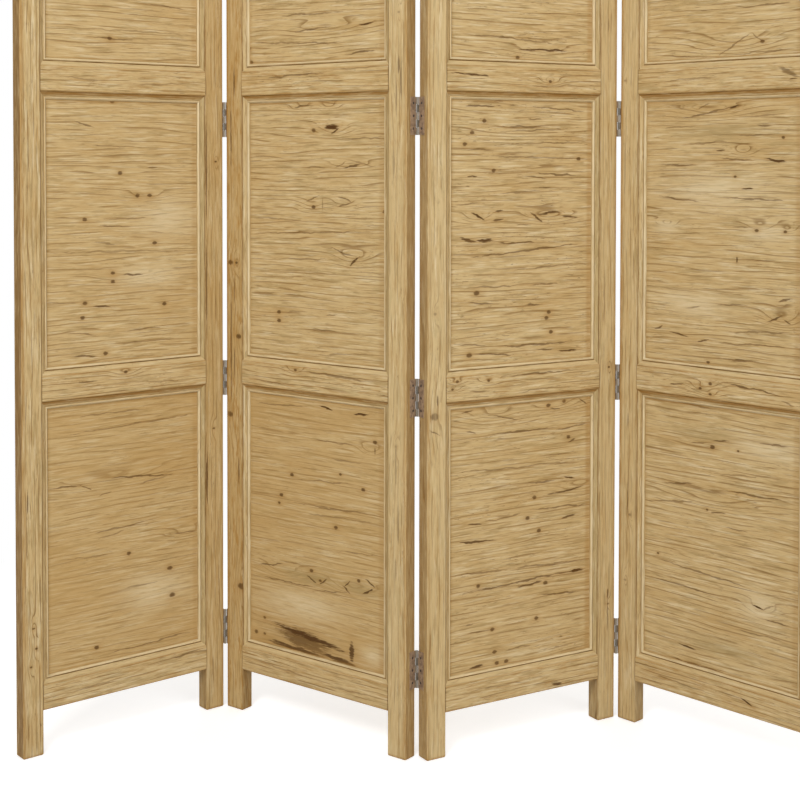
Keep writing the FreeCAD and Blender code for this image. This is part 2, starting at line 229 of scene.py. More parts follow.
# what a mark takes from the wood under it, and gives on with itself added
MARKED = {"Colour": "Color", "Depth": "Float"}


def knot_pattern():
    """A small dark knot in a warmer ring."""
    names = ("Across", "Up", "Broken", "X", "Z", "Half Length", "Half Height")
    tree, wires, results = shared_pattern("knot", MARKED | dict.fromkeys(names, "Float"), MARKED)
    colour, depth, across, up, broken, x, z, half_length, half_height = wires
    distance = ((across - x) / half_length).squared() + ((up - z) / half_height).squared()
    core = (distance + (broken - 0.5) * 3.4).rise(1.7, 0.4)
    colour = ((distance * -0.20).math("EXPONENT") * 0.40).mix(colour, AMBER)
    colour = (core * 0.80).mix(colour, DARK_BROWN)
    tree.links.new(colour.socket, results.inputs["Colour"])
    tree.links.new((depth + core).socket, results.inputs["Depth"])
    return tree


def streak_pattern():
    """A dark line or stain that follows the grain, ragged and broken along its length."""
    places = ("Across", "Up", "Broken", "Wobble", "Front")
    sizes = ("X", "Z", "Slope", "Half Length", "Half Height", "Strength")
    takes = MARKED | dict.fromkeys(places + sizes, "Float")
    tree, wires, results = shared_pattern("streak", takes, MARKED)
    colour, depth, across, up, broken, wobble, front = wires[: -len(sizes)]
    x, z, slope, half_length, half_height, strength = wires[-len(sizes) :]
    from_middle = across - x
    off_line = up - z - slope * from_middle + (wobble - 0.5) * 9
    inside = 1 - (from_middle / half_length).squared() - (off_line / half_height).squared()
    mask = (inside + (broken - 0.5) * 2.2).rise(0.15, 0.75) * front
    halo = (inside * 0.35).math("EXPONENT") * front
    colour = (halo * strength * 0.16).mix(colour, AMBER)
    colour = (mask * strength).mix(colour, DARK_BROWN)
    tree.links.new(colour.socket, results.inputs["Colour"])
    tree.links.new((depth + mask * strength).socket, results.inputs["Depth"])
    return tree


GRAIN = grain_pattern()
PARTING = parting_pattern()
KNOT = knot_pattern()
STREAK = streak_pattern()


# how far apart in the timber two pieces were cut: along the grain, across it and into it
CUTS_APART = (731.0, 173.0, 57.0)
# how far the rings waver over a whole piece, besides the sway that each kind of piece has
LONG_WAVER = 9
# streaks and patches are full to this depth in the panel and gone by the second, so the back has none
MARKS_FULL = 11
MARKS_GONE = 16
# a mark that is stronger than this is cut into the surface too
CUT_IN_OVER = 0.75
# a knot's half length and half height, as shares of its size
KNOT_SHARES = (0.62, 0.45)
# half a streak is this share of its length and some millimetres more, because it fades towards its ends
STREAK_SHARE = 0.58
STREAK_PAST = 2
# half the width of the finest streak, and how much full strength adds to it
FINE_HALF_WIDTH = 1.2
STRONG_WIDER = 1.2
# the wax mirrors little, is this rough at its dullest, and in places is smoother by as much as the last
WAX_MIRROR = 0.2
WAX_DULLEST = 0.72
WAX_SMOOTHER = 0.22
# how far the grain stands up, in metres
GRAIN_RELIEF = 0.0004


class Wood:
    """The wood of one piece: how its grain runs, its rings and marks, and the colour that they give."""

    def __init__(self, name, panel):
        self.material = new_material(name)
        self.place = on_panel(self.material, panel)
        parts = {"Vector": self.place}
        self.x, self.y, self.z = (self.place.node("SeparateXYZ", None, parts, k) for k in range(3))
        self.front = self.y.rise(MARKS_GONE, MARKS_FULL)
        self.figure = 0.0

    def lie(self, along, across, seed):
        """Which way the grain runs, and where in the timber the piece was cut."""
        places = {k: wire + seed * CUTS_APART[k] for k, wire in enumerate((along, across, self.y))}
        self.run = self.place.node("CombineXYZ", None, places)
        self.broken = self.run.noise(22, 1.8, 3.0, 0.7)
        self.wobble = self.run.noise(28, 12)
        self.patchy = self.run.noise(38, 3.5, 3.0, 0.65).rise(0.30, 0.62) * 0.65 + 0.35

    def grow(self, across, ring_width, sway):
        """Growth rings lie side by side across the grain, and sway and waver along it."""
        waver = (self.run.noise(900, 11, 1.0) - 0.5) * LONG_WAVER
        self.rings = (across + (self.run.noise(300, 55) - 0.5) * sway + waver) / ring_width

    def part_round(self, x, z, length, height, rings):
        """The growth rings part round this place, and a number of them close again on each side."""
        sizes = {"X": x, "Z": z, "Half Length": length / 2, "Half Height": height / 2, "Amount": rings}
        wires = {"Across": self.x, "Up": self.z, "Rings": self.rings, "Figure": self.figure}
        self.rings = self.place.node("Group", {"node_tree": PARTING}, wires | sizes, "Rings")
        self.figure = self.rings.other("Figure")

    def lay_grain(self, lines, specks):
        """The grain's colour and depth, with so much of its dark lines and of its pores."""
        wires = {"Run": self.run, "Rings": self.rings, "Figure": self.figure}
        amounts = {"Lines": lines, "Specks": specks}
        self.colour = self.place.node("Group", {"node_tree": GRAIN}, wires | amounts, "Colour")
        self.depth = self.colour.other("Depth")

    def mark(self, pattern, sizes, **extra):
        """A knot or a streak on top of what is there. Only a strong one is cut into the surface."""
        wires = {"Colour": self.colour, "Depth": self.depth, "Across": self.x, "Up": self.z}
        wires = wires | {"Broken": self.broken} | extra
        self.colour = self.place.node("Group", {"node_tree": pattern}, wires | sizes, "Colour")
        if sizes.get("Strength", 1) > CUT_IN_OVER:
            self.depth = self.colour.other("Depth")

    def knot(self, x, z, size=7):
        half_length, half_height = (size * share for share in KNOT_SHARES)
        self.mark(KNOT, {"X": x, "Z": z, "Half Length": half_length, "Half Height": half_height})

    def streak(self, x, z, x_end, z_end, strength, width=None):
        """From one place on the panel to another. A strong one is a little wider."""
        length, height = abs(x_end - x), abs(z_end - z)
        half_width = width / 2 if width else FINE_HALF_WIDTH + strength * STRONG_WIDER
        upright = length < height
        reach = max(length, height) * STREAK_SHARE + STREAK_PAST
        sizes = {
            "X": (x + x_end) / 2,
            "Z": (z + z_end) / 2,
            "Slope": 0.0 if upright else (z_end - z) / (x_end - x),
            "Half Length": half_width if upright else reach,
            "Half Height": reach if upright else half_width,
            "Strength": strength,
        }
        self.mark(STREAK, sizes, Wobble=self.wobble, Front=self.front)

    def stain(self, mask, colour):
        self.colour = mask.mix(self.colour, colour)

    def wear_and_painted_light(self, mask, strength, colour=AMBER):
        """Wear or dirt that comes and goes along an edge, and the painted shade and highlights on the beads
        and the stiles' side faces.
        """
        self.stain(mask * self.patchy * strength, colour)

    def soil(self, strength):
        """Old dirt that lies in the grain."""
        self.stain(self.run.noise(34, 4.5, 3.0, 0.65).rise(0.50, 0.66) * strength, AMBER)

    def yellow(self, strength):
        """A honey brown tint in wide patches."""
        self.stain(self.run.noise(200, 60) * strength, HONEY)

    def finish(self):
        """Old wax: a low, uneven sheen, with the grain standing up a little."""
        tree = self.material.node_tree
        shader = tree.nodes["Principled BSDF"]
        shader.inputs["Specular IOR Level"].default_value = WAX_MIRROR
        tree.links.new(self.colour.socket, shader.inputs["Base Color"])
        rough = WAX_DULLEST - self.run.noise(80, 9) * WAX_SMOOTHER
        tree.links.new(rough.socket, shader.inputs["Roughness"])
        relief = {"Height": self.depth * -1, "Strength": 0.5, "Distance": GRAIN_RELIEF}
        tree.links.new(rough.node("Bump", None, relief).socket, shader.inputs["Normal"])
        return self.material


def dress(node, material):
    """The CAD node keeps its shape and takes this finish."""
    obj = frame["nodes"][node]
    obj.data.materials.clear()
    obj.data.materials.append(material)


# Knots on the stiles: across the panel, up, and size.
STILE_KNOTS = {
    (1, "left"): ((20, 220, 4), (25, 185, 4), (15, 155, 4)),
    (1, "right"): ((390, 1010, 4), (385, 520, 4)),
    (2, "left"): ((10, 825, 9), (25, 825, 5), (30, 690, 9), (8, 545, 11), (35, 230, 12), (25, 1430, 8)),
    (2, "right"): ((385, 530, 4), (390, 1260, 4)),
    (3, "left"): ((15, 755, 5), (14, 582, 13)),
    (3, "right"): ((390, 210, 4), (390, 640, 4)),
    (4, "left"): ((10, 1155, 4), (25, 375, 5), (15, 255, 4)),
    (4, "right"): ((390, 860, 4), (385, 1350, 5)),
}
# Dark slits and stains along the stiles: from one place to another, strength and width.
STILE_STREAKS = {
    (1, "left"): ((10, 450, 10, 420, 0.7, 4), (25, 1105, 25, 1045, 0.4, 3)),
    (1, "right"): (
        (390, 770, 390, 705, 0.4, 3), (385, 330, 385, 280, 0.4, 3), (370, 1090, 370, 900, 0.7, 4),
        (370, 860, 370, 700, 0.7, 4), (370, 480, 370, 380, 0.8, 5),
    ),
    (2, "left"): (
        (20, 1180, 20, 1130, 0.6, 6), (20, 800, 20, 750, 0.5, 4), (20, 670, 20, 615, 0.6, 4),
        (30, 470, 30, 415, 0.6, 5), (12, 1120, 12, 1000, 0.6, 5), (12, 780, 12, 560, 0.6, 5),
    ),
    (2, "right"): (
        (390, 1190, 390, 1160, 0.9, 6), (395, 1180, 395, 1110, 0.8, 5), (385, 1150, 385, 1090, 0.8, 5),
        (385, 540, 385, 460, 0.7, 5), (390, 440, 390, 360, 0.7, 5), (385, 340, 385, 300, 0.7, 5),
        (380, 1040, 380, 980, 0.7, 5),
    ),
    (3, "left"): ((5, 560, 25, 550, 0.8, 4), (20, 615, 20, 600, 0.8, 4), (25, 430, 25, 370, 0.5, 3)),
    (3, "right"): (
        (390, 235, 390, 220, 0.8, 5), (390, 210, 390, 160, 0.7, 4), (385, 1265, 385, 1245, 0.6, 4),
    ),
    (4, "left"): ((10, 1045, 10, 930, 0.5, 3), (20, 560, 20, 530, 0.6, 3), (20, 440, 20, 375, 0.6, 3)),
    (4, "right"): ((390, 1060, 390, 1000, 0.4, 3), (385, 300, 385, 250, 0.5, 3)),
}
# how strongly the outer edge of each stile has gone amber, from handling and old wax
EDGE_WEAR = {(2, "left"): 0.95, (4, "left"): 0.9, (1, "left"): 0.6, (3, "left"): 0.4, (3, "right"): 0.7}
# how much old dirt lies in the grain of each stile, and how far its wax has gone honey brown
STILE_DIRT = {(2, "left"): 1.0, (2, "right"): 0.5, (3, "left"): 0.4, (3, "right"): 0.3, (4, "left"): 0.4}
STILE_HONEY = {(1, "right"): 0.6, (2, "left"): 0.8}
# stiles that are paler along part of their length, the one with more pores, and the one with the darkest
# side face, from dirt and painted shade
PALE_STILES = ((2, "right"), (3, "left"), (3, "right"), (4, "left"))
OPEN_GRAINED = (2, "right")
DARK_SIDED = (1, "left")
# millimetres from a stile's outer edge at which its wear begins and is full, and so for the side face's
# dirt and painted shade
WORN_EDGE = (9.0, 2.5)
SIDE_FACE = (0.5, 0.1)
# dirt beside the beads begins and is full this far inside a stile's inner edge, or above the floor
BESIDE_BEADS = (2.6, 0.6)
ABOVE_FLOOR = (6, 0.5)
# how many growth rings part round a knot in the frame
FRAME_KNOT_RINGS = 1.6


def stile_wood(panel, side, seed):
    stile = (panel, side)
    wood = Wood(f"stile_{panel}_{side}", panel)
    wood.lie(along=wood.z, across=wood.x, seed=seed)
    wood.grow(across=wood.x, ring_width=8.0, sway=22.0)
    for x, z, size in STILE_KNOTS[stile]:
        wood.part_round(x, z, length=size * 3, height=size * 9, rings=FRAME_KNOT_RINGS)
    wood.lay_grain(lines=1.0, specks=1.0 if stile == OPEN_GRAINED else 0.7)
    wood.soil(STILE_DIRT.get(stile, 0.3))
    if stile in STILE_HONEY:
        wood.yellow(STILE_HONEY[stile])
    for knot in STILE_KNOTS[stile]:
        wood.knot(*knot)
    for streak in STILE_STREAKS[stile]:
        wood.streak(*streak)
    outer = wood.x if side == "left" else PANEL_WIDTH - wood.x
    if stile in PALE_STILES:
        wood.stain(wood.run.noise(150, 12, 3.0).rise(0.3, 0.6) * 0.45, PALE_STRAW)
    wood.wear_and_painted_light(outer.rise(*WORN_EDGE), EDGE_WEAR.get(stile, 0.5))
    wood.wear_and_painted_light(outer.rise(*(STILE_WIDTH - inside for inside in BESIDE_BEADS)), 0.50, BROWN)
    # the outer side face is darker: dirt from handling, and painted shade because it faces away from the
    # front
    wood.wear_and_painted_light(outer.rise(*SIDE_FACE), 0.75 if stile == DARK_SIDED else 0.35, BROWN)
    wood.wear_and_painted_light(wood.z.rise(*ABOVE_FLOOR), 0.8)
    return wood.finish()


for panel in PANELS:
    for side, seed in (("left", panel * 2 + 0.3), ("right", panel * 2 + 1.1)):
        dress(f"panel_{panel}_{side}_stile", stile_wood(panel, side, seed))


# Rails. Four cross pieces to a panel, tenoned into the stiles, of the same waxed softwood with the grain
# lying across. Like the stiles they have a narrow arris taken off each long edge.

RAIL_HEIGHT = 44
RAIL_NAMES = ("bottom_rail", "lower_rail", "upper_rail", "top_rail")

# knots, placed as on the stiles
RAIL_KNOTS = {
    (1, "lower_rail"): ((200, 640, 6),),
    (2, "lower_rail"): ((165, 640, 5),),
    (3, "upper_rail"): ((255, 1150, 6),),
    (3, "lower_rail"): ((60, 638, 5), (125, 635, 5), (50, 625, 4)),
    (4, "lower_rail"): ((190, 630, 6), (170, 620, 5), (190, 612, 5)),
    (1, "top_rail"): ((290, 1680, 6),),
    (4, "top_rail"): ((120, 1675, 6),),
}
# dark lines: from one place to another, strength, and width for the wide ones
RAIL_STREAKS = {
    (1, "upper_rail"): ((70, 1155, 160, 1150, 0.4), (210, 1145, 330, 1150, 0.4)),
    (1, "lower_rail"): ((105, 630, 145, 630, 0.6), (220, 620, 320, 615, 0.4)),
    (1, "bottom_rail"): ((280, 112, 360, 115, 0.5), (90, 95, 190, 100, 0.4)),
    (2, "upper_rail"): ((250, 1170, 360, 1170, 0.45), (100, 1160, 230, 1165, 0.6)),
    (2, "lower_rail"): ((170, 640, 340, 635, 0.5, 5), (70, 615, 150, 610, 0.4)),
    (2, "bottom_rail"): ((80, 100, 200, 95, 0.4), (240, 90, 340, 95, 0.4)),
    (3, "upper_rail"): ((45, 1160, 130, 1155, 0.9), (190, 1140, 320, 1145, 0.4)),
    (3, "lower_rail"): ((155, 640, 310, 640, 0.6), (85, 618, 125, 618, 0.5), (180, 610, 290, 615, 0.4)),
    (3, "bottom_rail"): ((265, 85, 285, 82, 0.85, 7), (90, 105, 210, 100, 0.4)),
    (4, "upper_rail"): (
        (315, 1165, 350, 1150, 0.6, 12), (335, 1145, 350, 1145, 0.8), (90, 1150, 210, 1155, 0.4),
    ),
    (4, "lower_rail"): ((215, 635, 330, 625, 0.75), (110, 620, 135, 625, 0.9), (325, 615, 345, 612, 0.5)),
    (4, "bottom_rail"): ((255, 105, 275, 95, 1.0, 5), (80, 100, 190, 95, 0.4)),
}
# dirt begins and is full this far inside a rail's lower edge, its upper edge, and the stiles at its ends
LOWER_EDGE = (4.0, 0.8)
UPPER_EDGE = (3.0, 0.6)
AT_STILES = (1.6, 0.4)


def rail_wood(panel, rail, seed):
    wood = Wood(f"rail_{panel}_{rail}", panel)
    wood.lie(along=wood.x, across=wood.z, seed=seed)
    wood.grow(across=wood.z, ring_width=8.0, sway=20.0)
    knots = RAIL_KNOTS.get((panel, rail), ())
    for x, z, size in knots:
        wood.part_round(x, z, length=size * 8, height=size * 3, rings=FRAME_KNOT_RINGS)
    wood.lay_grain(lines=1.0, specks=0.8)
    wood.soil(0.4)
    for knot in knots:
        wood.knot(*knot)
    for streak in RAIL_STREAKS.get((panel, rail), ()):
        wood.streak(*streak)
    above = wood.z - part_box(f"panel_{panel}_{rail}")[0].z * MM_PER_METRE
    from_middle = abs(wood.x - PANEL_WIDTH / 2)
    half_length = PANEL_WIDTH / 2 - STILE_WIDTH
    wood.wear_and_painted_light(above.rise(*LOWER_EDGE), 0.6)
    wood.wear_and_painted_light(above.rise(*(RAIL_HEIGHT - inside for inside in UPPER_EDGE)), 0.4)
    wood.wear_and_painted_light(from_middle.rise(*(half_length - inside for inside in AT_STILES)), 0.3, BROWN)
    return wood.finish()


for panel in PANELS:
    for number, rail in enumerate(RAIL_NAMES):
        dress(f"panel_{panel}_{rail}", rail_wood(panel, rail, panel * 4 + number + 0.7))


# Fields. Three wide boards lie across each field, tongue in groove, of old softwood with thin dark rings
# that part round the knots, dirt along the beads, and a few cracks and weathered stains.

FIELD_NAMES = ("bottom_field", "middle_field", "top_field")
BEAD_WIDTH = 14
# how far the boards stand in the grooves of the frame
BOARD_HOUSING = 7

# where the boards of each field meet, as shares of the field's height, from the bottom field up
BOARD_JOINT_SHARES = {
    1: ((0.36, 0.68), (0.42, 0.74), (0.33, 0.65)),
    2: ((0.28, 0.585), (0.35, 0.5), (0.3, 0.66)),
    3: ((0.325, 0.66), (0.46, 0.71), (0.36, 0.69)),
    4: ((0.35, 0.7), (0.3, 0.64), (0.34, 0.62)),
}
# how many short dark pores each panel's boards show, and how strongly each field is tinted honey brown,
# most on the lower fields of the first two panels
SPECKS = {1: 0.5, 2: 0.6, 3: 1.0, 4: 0.6}
FIELD_HONEY = {
    (1, "bottom_field"): 0.9,
    (2, "bottom_field"): 0.85,
    (3, "bottom_field"): 0.3,
    (1, "middle_field"): 0.3,
    (1, "top_field"): 0.3,
}

# Marks on the boards, in millimetres across the panel and up. Knots first.
FIELD_KNOTS = {
    (1, "top_field"): ((175, 1225), (280, 1385), (130, 1455), (230, 1590)),
    (1, "middle_field"): (
        (180, 1115), (195, 990), (230, 950), (255, 950), (125, 910), (265, 865), (180, 815), (180, 800),
        (125, 765), (285, 755), (120, 740), (165, 675),
    ),
    (1, "bottom_field"): ((210, 315), (295, 275, 8), (300, 225, 9), (145, 160)),
    (2, "top_field"): ((50, 1215), (55, 1190), (290, 1360), (140, 1430), (250, 1580)),
    (2, "middle_field"): ((200, 1065), (200, 930), (355, 925), (120, 740), (120, 725)),
    (2, "bottom_field"): (
        (335, 530), (260, 465, 5), (150, 450), (310, 445), (125, 410), (120, 395, 5), (250, 370),
        (195, 285), (300, 285, 6), (215, 270, 5), (65, 150), (85, 150, 5), (85, 180, 5),
    ),
    (3, "top_field"): ((190, 1190), (140, 1350), (300, 1420), (200, 1570)),
    (3, "middle_field"): (
        (120, 1080), (95, 1060), (80, 1040), (325, 1015), (140, 995), (105, 785, 9), (260, 745), (255, 735),
        (265, 710), (90, 680, 9),
    ),
    (3, "bottom_field"): (
        (295, 585), (260, 580), (305, 520), (230, 420), (215, 385), (240, 360), (110, 280), (255, 265),
        (235, 205), (140, 200), (145, 160), (150, 140), (170, 140),
    ),
    (4, "top_field"): ((280, 1210), (260, 1365), (120, 1440), (300, 1500)),
    (4, "middle_field"): (
        (320, 1050, 5), (230, 985, 5), (272, 895, 6), (325, 895, 5), (180, 665, 5),
    ),
    (4, "bottom_field"): ((190, 520), (240, 520, 4), (180, 410, 4), (80, 315, 4)),
}
# Eyes and cathedral figures have a length, a height, and how many rings part round them.
FIELD_EYES = {
    (1, "top_field"): ((200, 1400, 190, 40, 2.4),),
    (1, "middle_field"): ((250, 950, 80, 18, 1.6), (200, 805, 150, 24, 1.6)),
    (1, "bottom_field"): ((170, 455, 260, 40, 2.6), (330, 335, 80, 24, 1.8)),
    (2, "top_field"): ((220, 1245, 150, 28, 2.0), (140, 1430, 120, 36, 2.2)),
    (2, "middle_field"): (
        (175, 1108, 60, 18, 1.6), (235, 1108, 50, 16, 1.6), (245, 1065, 70, 26, 1.8),
        (285, 1005, 90, 18, 1.6), (195, 935, 60, 28, 1.8), (265, 940, 60, 24, 1.8),
        (285, 845, 80, 30, 2.0),
    ),
    (2, "bottom_field"): ((130, 272, 110, 34, 2.6), (290, 272, 110, 30, 2.4), (325, 515, 50, 24, 1.8)),
    (3, "top_field"): ((240, 1205, 150, 26, 1.8), (150, 1500, 160, 40, 2.4)),
    (3, "middle_field"): ((105, 915, 60, 22, 1.8), (260, 915, 110, 26, 2.2), (200, 1060, 230, 26, 1.4)),
    (3, "bottom_field"): ((140, 575, 120, 34, 2.4), (270, 580, 120, 28, 2.4), (330, 430, 90, 26, 1.8)),
    (4, "top_field"): ((230, 1210, 170, 44, 2.6), (180, 1420, 200, 50, 2.6)),
    (4, "middle_field"): (
        (180, 1098, 130, 26, 2.2), (320, 752, 60, 34, 2.0), (245, 1028, 50, 20, 1.8),
        (95, 902, 44, 20, 1.8), (280, 902, 60, 26, 2.0), (330, 900, 34, 16, 1.6),
    ),
    (4, "bottom_field"): ((290, 262, 60, 36, 2.2), (190, 430, 180, 34, 1.8)),
}
# Dark lines and cracks, from one place to another, with a strength, and a width for the wide ones.
FIELD_STREAKS = {
    (1, "top_field"): (
        (250, 1290, 330, 1285, 0.5), (80, 1240, 340, 1240, 0.35), (145, 1225, 225, 1225, 0.6),
        (90, 1345, 230, 1350, 0.5), (180, 1420, 320, 1410, 0.4), (60, 1495, 150, 1500, 0.5),
        (200, 1560, 330, 1565, 0.45), (110, 1620, 250, 1615, 0.4),
    ),
    (1, "middle_field"): (
        (105, 1080, 145, 1070, 0.6), (125, 1040, 250, 1035, 0.4), (250, 1000, 270, 1000, 0.6),
        (160, 910, 265, 910, 0.45), (150, 900, 215, 895, 0.5), (145, 870, 190, 865, 0.4),
        (55, 855, 335, 850, 0.35), (200, 810, 240, 810, 0.8), (50, 770, 110, 765, 0.4),
        (140, 760, 175, 755, 0.8), (95, 715, 150, 710, 0.5), (200, 710, 280, 715, 0.5),
        (185, 690, 300, 690, 0.4), (100, 675, 150, 670, 0.7),
    ),
    (1, "bottom_field"): (
        (110, 570, 250, 570, 0.45), (95, 540, 350, 550, 0.45), (175, 455, 295, 445, 0.7),
        (55, 450, 115, 450, 0.6), (115, 450, 135, 440, 0.6), (295, 445, 225, 435, 0.4),
        (150, 425, 175, 430, 0.5), (130, 360, 270, 370, 0.5), (150, 350, 205, 360, 0.4),
        (300, 335, 355, 335, 0.6), (80, 325, 175, 320, 0.35), (200, 255, 270, 255, 0.4),
        (155, 145, 355, 150, 0.5), (60, 130, 110, 125, 0.7), (175, 125, 220, 120, 0.7),
    ),
    (2, "top_field"): (
        (120, 1270, 265, 1270, 0.5), (300, 1245, 330, 1245, 0.95), (150, 1240, 240, 1245, 0.6),
        (70, 1225, 270, 1215, 0.5), (275, 1195, 335, 1200, 0.7), (100, 1340, 260, 1335, 0.5),
        (220, 1400, 340, 1410, 0.45), (70, 1470, 170, 1465, 0.5), (180, 1540, 300, 1530, 0.4),
        (90, 1610, 200, 1615, 0.45),
    ),
    (2, "middle_field"): (
        (155, 1105, 200, 1110, 0.65), (210, 1115, 250, 1110, 0.55), (225, 1070, 255, 1070, 1.0, 10),
        (255, 1068, 240, 1058, 0.9, 5), (245, 1050, 355, 1050, 0.45), (60, 1020, 135, 1015, 0.4),
        (270, 1015, 340, 1000, 0.4), (185, 1000, 230, 1000, 0.4), (250, 1000, 270, 1010, 0.5),
        (270, 1000, 300, 1005, 0.8, 5), (250, 950, 285, 940, 0.6), (220, 945, 220, 925, 0.4),
        (185, 940, 210, 950, 0.6), (285, 940, 250, 930, 0.6), (50, 910, 180, 905, 0.4),
        (55, 880, 310, 890, 0.5), (240, 860, 295, 845, 0.6), (300, 845, 280, 830, 0.9, 6),
        (110, 835, 230, 840, 0.45), (135, 740, 185, 745, 0.4), (230, 740, 250, 745, 0.5),
        (195, 715, 250, 715, 0.45), (200, 670, 320, 680, 0.4),
    ),
    # the last five are the edges and the hollow of a gouge near the foot of this board
    (2, "bottom_field"): (
        (215, 580, 240, 575, 1.0), (285, 575, 320, 575, 1.0, 4), (65, 570, 185, 575, 0.5),
        (185, 520, 285, 520, 0.4), (335, 520, 335, 510, 0.6), (230, 490, 305, 490, 0.45),
        (165, 445, 285, 450, 0.45), (145, 400, 340, 405, 0.5), (160, 385, 340, 390, 0.35),
        (250, 330, 335, 335, 0.45), (125, 290, 175, 290, 0.4), (75, 275, 125, 285, 0.7),
        (270, 270, 280, 280, 0.9), (215, 265, 230, 275, 0.8), (310, 265, 330, 275, 0.9),
        (265, 270, 280, 260, 0.8), (185, 275, 205, 265, 0.8), (315, 290, 335, 280, 0.8),
        (80, 255, 200, 255, 0.6), (200, 250, 275, 260, 0.5),
        (120, 165, 235, 150, 0.75, 44), (100, 175, 270, 155, 0.95, 13), (100, 140, 225, 135, 0.9, 12),
        (225, 140, 295, 135, 0.9, 12), (285, 175, 285, 140, 0.9, 14),
    ),
    (3, "top_field"): (
        (85, 1225, 185, 1225, 0.5), (135, 1228, 280, 1215, 0.5), (190, 1205, 310, 1205, 0.9),
        (70, 1300, 210, 1310, 0.5), (230, 1370, 330, 1365, 0.45), (90, 1440, 200, 1435, 0.5),
        (200, 1520, 340, 1530, 0.4), (80, 1600, 190, 1595, 0.5),
    ),
    (3, "middle_field"): (
        (140, 1115, 160, 1115, 0.7), (80, 1105, 155, 1105, 0.75), (225, 1105, 340, 1100, 0.6),
        (215, 1085, 245, 1085, 0.6), (160, 1070, 255, 1070, 0.55), (155, 1062, 310, 1068, 0.5),
        (155, 1040, 350, 1045, 0.4), (80, 1030, 140, 1030, 0.55), (105, 1020, 355, 1015, 0.45),
        (230, 990, 325, 985, 0.65), (85, 985, 105, 985, 0.85), (205, 985, 255, 980, 0.6),
        (240, 965, 265, 965, 0.65), (155, 955, 240, 960, 0.5), (55, 935, 110, 940, 0.5),
        (145, 925, 160, 925, 0.85, 5), (95, 922, 120, 910, 0.95, 6), (220, 920, 245, 905, 0.85, 6),
        (235, 918, 285, 922, 0.9, 6), (285, 915, 325, 910, 0.8, 5), (140, 910, 160, 910, 0.8, 5),
        (190, 900, 220, 900, 0.55), (70, 880, 105, 872, 0.9, 6), (105, 875, 140, 875, 0.95, 6),
        (150, 870, 230, 870, 0.8, 5), (75, 845, 345, 865, 0.65), (185, 820, 320, 830, 0.5),
        (225, 795, 280, 795, 0.6), (75, 795, 200, 795, 0.5), (90, 770, 140, 765, 0.6),
        (210, 760, 245, 760, 0.7), (60, 700, 125, 695, 0.5), (150, 690, 315, 690, 0.65),
        (105, 680, 180, 675, 0.7), (230, 680, 270, 680, 0.7), (280, 675, 325, 675, 0.9),
    ),
    (3, "bottom_field"): (
        (75, 580, 100, 585, 0.8), (130, 575, 195, 560, 0.6), (265, 575, 285, 570, 0.7),
        (330, 585, 345, 575, 0.7), (85, 550, 105, 545, 0.6), (135, 540, 260, 540, 0.6),
        (280, 535, 345, 540, 0.6), (305, 510, 320, 515, 0.7), (60, 480, 350, 475, 0.45),
        (295, 450, 320, 445, 0.95), (215, 445, 280, 445, 0.6), (250, 420, 345, 430, 0.8),
        (215, 400, 350, 395, 0.6), (90, 390, 120, 385, 0.8), (120, 390, 200, 395, 0.5),
        (290, 375, 320, 380, 0.8), (70, 360, 145, 355, 0.85), (60, 305, 185, 300, 0.5),
        (185, 300, 335, 295, 0.5), (305, 278, 340, 278, 1.0), (70, 270, 350, 280, 0.7),
        (190, 265, 250, 270, 0.8), (245, 245, 335, 240, 0.6), (85, 215, 100, 215, 0.6),
        (85, 200, 145, 200, 0.5), (165, 160, 220, 160, 0.5), (95, 140, 120, 140, 0.9),
    ),
    (4, "top_field"): (
        (225, 1270, 330, 1270, 0.6), (195, 1190, 260, 1225, 0.5), (260, 1225, 280, 1210, 0.5),
        (95, 1195, 150, 1190, 0.4), (215, 1190, 345, 1195, 0.5), (100, 1330, 240, 1325, 0.5),
        (210, 1400, 330, 1410, 0.45), (70, 1480, 180, 1475, 0.5), (190, 1550, 310, 1560, 0.4),
        (90, 1625, 210, 1620, 0.45),
    ),
    (4, "middle_field"): (
        (155, 1100, 180, 1110, 0.5), (125, 1085, 240, 1105, 0.6), (220, 1100, 235, 1105, 0.9),
        (240, 1085, 325, 1090, 0.4), (90, 1070, 155, 1070, 0.45), (270, 1070, 300, 1070, 0.6),
        (235, 1055, 305, 1055, 0.5), (130, 1040, 215, 1045, 0.45), (195, 1030, 210, 1030, 0.8),
        (200, 1015, 265, 1015, 0.6), (285, 1015, 325, 1010, 0.95), (85, 1005, 155, 1005, 0.6),
        (245, 965, 265, 965, 0.95), (75, 950, 160, 940, 0.6), (205, 950, 325, 945, 0.6),
        (225, 900, 260, 900, 0.5), (235, 850, 235, 840, 0.8), (260, 845, 315, 845, 0.4),
        (195, 765, 255, 770, 0.5), (315, 780, 335, 785, 0.7), (135, 755, 165, 760, 0.5),
        (295, 745, 320, 755, 0.8), (325, 750, 335, 745, 0.7), (215, 720, 340, 730, 0.5),
        (70, 715, 85, 720, 0.8), (100, 710, 140, 705, 0.8), (160, 700, 180, 705, 0.8),
        (180, 700, 340, 705, 0.5), (210, 675, 280, 675, 0.6),
    ),
    (4, "bottom_field"): (
        (110, 590, 200, 585, 0.5), (280, 540, 330, 540, 0.6), (190, 530, 220, 535, 0.7),
        (145, 520, 180, 525, 0.6), (180, 475, 325, 485, 0.4), (220, 450, 330, 450, 0.7),
        (85, 445, 165, 450, 0.6), (55, 405, 160, 420, 0.5), (190, 405, 215, 410, 0.7),
        (215, 385, 260, 385, 0.6), (80, 305, 270, 290, 0.55), (80, 270, 205, 265, 0.5),
        (270, 265, 290, 260, 1.0, 4), (290, 260, 310, 270, 0.5), (290, 245, 340, 245, 0.7),
        (240, 215, 325, 215, 0.5), (125, 165, 160, 160, 0.9, 5), (100, 135, 220, 135, 0.8),
    ),
}
